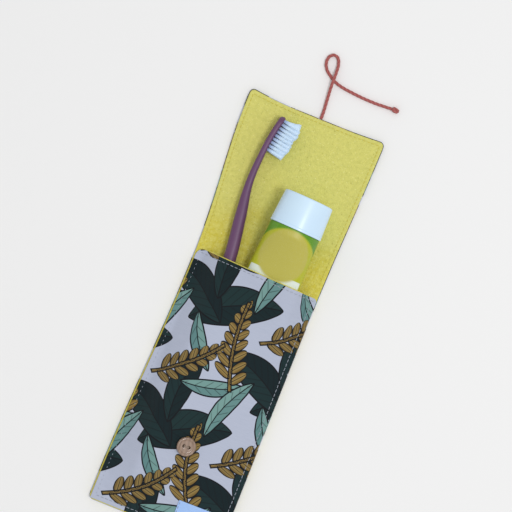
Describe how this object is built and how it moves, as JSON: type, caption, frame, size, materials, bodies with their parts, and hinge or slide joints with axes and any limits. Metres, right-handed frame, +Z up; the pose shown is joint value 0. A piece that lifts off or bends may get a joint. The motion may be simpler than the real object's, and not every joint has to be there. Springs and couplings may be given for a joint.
{
  "type": "toothbrush travel pouch",
  "caption": "Lined cloth toothbrush pouch laid open, with a fold-over flap, tie cord and button, holding a toothbrush and a toothpaste tube with a screw cap.",
  "frame": {"origin": "middle of the underside of the pouch laid open, on the surface it lies on", "axes": "+Y along the pouch towards the end of the open flap, +Z up out of the pocket's front"},
  "size_m": [0.0806, 0.276, 0.0321],
  "materials": {
    "print_cotton": "printed woven cotton",
    "yellow_lining": "soft napped cloth",
    "white_thread": "sewing thread",
    "yellow_thread": "sewing thread",
    "label_satin": "woven satin",
    "cord_cotton": "braided cord",
    "button_plastic": "pearly gloss",
    "handle_plastic": "gloss",
    "bristle_nylon": "satin",
    "anchor_brass": "plain",
    "tube_laminate": "satin gloss",
    "shoulder_plastic": "moulded",
    "paste": "smooth",
    "cap_plastic": "satin gloss",
    "liner_foam": "closed-cell foam"
  },
  "bodies": {
    "pouch": {"back_outer": "print_cotton", "back_lining": "yellow_lining", "pocket_outer": "print_cotton", "pocket_lining": "yellow_lining", "pocket_seam_thread": "white_thread", "mouth_thread": "white_thread", "woven_label": "label_satin", "label_thread": "white_thread"},
    "flap": {"flap_outer": "print_cotton", "flap_lining": "yellow_lining", "flap_edge_thread": "yellow_thread", "tie_cord": "cord_cotton", "cord_knot": "cord_cotton"},
    "sewn_button": {"button": "button_plastic", "button_thread": "white_thread"},
    "toothbrush": {"brush_handle": "handle_plastic", "bristle_row_upper": "bristle_nylon", "bristle_row_middle": "bristle_nylon", "bristle_row_lower": "bristle_nylon", "tuft_anchors": "anchor_brass"},
    "tube": {"tube_sleeve": "tube_laminate", "tube_shoulder": "shoulder_plastic", "toothpaste": "paste"},
    "liner": {"cap_liner": "liner_foam"},
    "cap": {"tube_cap": "cap_plastic"}
  },
  "joints": [
    {"name": "flap_fold", "type": "hinge", "parent": "pouch", "child": "flap", "pos_m": [0, 0.031, -0.0003], "axis": [1, 0, 0], "range_deg": [-170, 0]},
    {"name": "button_turn", "type": "hinge", "parent": "pouch", "child": "sewn_button", "pos_m": [0.0005, -0.0725, 0.01254], "axis": [0.2365, -0.0026, 0.9716], "range_deg": [-30, 30]},
    {"name": "brush_slide", "type": "slide", "parent": "pouch", "child": "toothbrush", "axis": [0, 1, 0], "range_m": [-0.02, 0.085]},
    {"name": "tube_slide", "type": "slide", "parent": "pouch", "child": "tube", "axis": [0.0436, 0.999, 0], "range_m": [0, 0.06]},
    {"name": "cap_lift", "type": "slide", "parent": "tube", "child": "liner", "axis": [0.0436, 0.999, 0], "range_m": [0, 0.0091]},
    {"name": "cap_turn", "type": "hinge", "parent": "liner", "child": "cap", "pos_m": [0.01181, 0.058, 0.0173], "axis": [0.0436, 0.999, 0], "range_deg": [0, 1080]}
  ],
  "couplings": [
    {"joint": "cap_lift", "follows": "cap_turn", "m_per_rad": 0.00047746}
  ]
}
